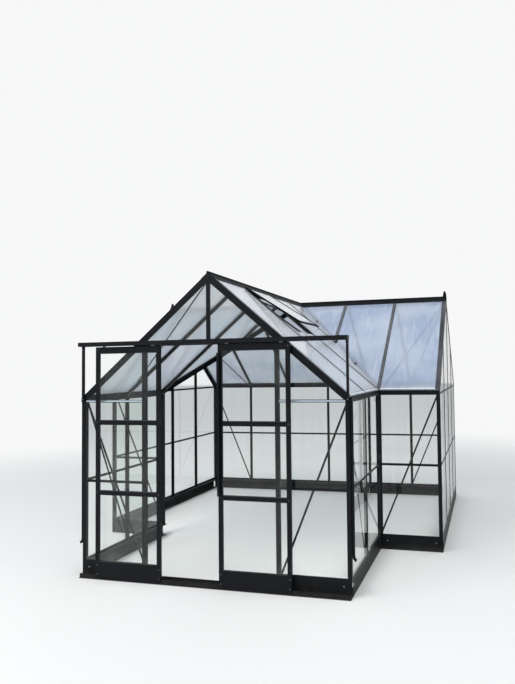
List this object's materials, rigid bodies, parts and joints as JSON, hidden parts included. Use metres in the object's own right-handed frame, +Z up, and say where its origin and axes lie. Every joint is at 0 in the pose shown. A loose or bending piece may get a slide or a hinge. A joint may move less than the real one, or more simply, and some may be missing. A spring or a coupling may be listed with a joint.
{
  "type": "glass greenhouse",
  "caption": "T-plan glass greenhouse with black metal frame, translucent pitched roofs, an opened roof vent and sliding double doors in the front gable",
  "frame": {"origin": "on the ground, in the middle of the doorway, on the outer face of the front gable", "axes": "+X to the right as seen from outside the doors, +Y into the house, +Z up"},
  "size_m": [3.846, 3.935, 2.8252],
  "materials": {
    "black_frame": "satin black powder coat on extruded aluminium",
    "base_steel": "black powder coat on folded steel",
    "clear_glass": "clear toughened sheet glass",
    "twin_wall": "translucent twin-wall sheet with fine flutes down the slope",
    "hanger_steel": "dull zinc-plated steel"
  },
  "bodies": {
    "house": {"base_front": "base_steel", "base_left": "base_steel", "base_rear": "base_steel", "base_right": "base_steel", "door_sill": "black_frame", "door_track": "black_frame", "front_glass": "clear_glass", "front_left_panel": "black_frame", "front_left_rafter": "black_frame", "front_right_panel": "black_frame", "front_right_rafter": "black_frame", "front_roof_bars": "black_frame", "front_roof_sheets": "twin_wall", "gable_head": "black_frame", "left_end_frame": "black_frame", "left_end_glass": "clear_glass", "left_wing_frame": "black_frame", "left_wing_glass": "clear_glass", "left_wing_roof_bars": "black_frame", "left_wing_roof_sheets": "twin_wall", "main_ridge": "black_frame", "rear_frame": "black_frame", "rear_glass": "clear_glass", "rear_roof_bars": "black_frame", "rear_roof_sheets": "twin_wall", "return_frames": "black_frame", "return_glass": "clear_glass", "right_end_frame": "black_frame", "right_end_glass": "clear_glass", "right_wing_frame": "black_frame", "right_wing_glass": "clear_glass", "right_wing_roof_bars": "black_frame", "right_wing_roof_sheets": "twin_wall", "roof_vent_sash": "black_frame", "roof_vent_sheet": "twin_wall", "track_posts": "black_frame", "valley_bars": "black_frame", "vent_opener": "hanger_steel", "wing_ridge": "black_frame"},
    "left_door": {"left_door_frame": "black_frame", "left_door_glass": "clear_glass", "left_door_hangers": "hanger_steel"},
    "right_door": {"right_door_frame": "black_frame", "right_door_glass": "clear_glass", "right_door_hangers": "hanger_steel"}
  },
  "joints": [
    {"name": "left_door_slide", "type": "slide", "parent": "house", "child": "left_door", "axis": [-1, 0, 0], "range_m": [-0.443, 0.154]},
    {"name": "right_door_slide", "type": "slide", "parent": "house", "child": "right_door", "axis": [1, 0, 0], "range_m": [-0.114, 0.483]}
  ]
}
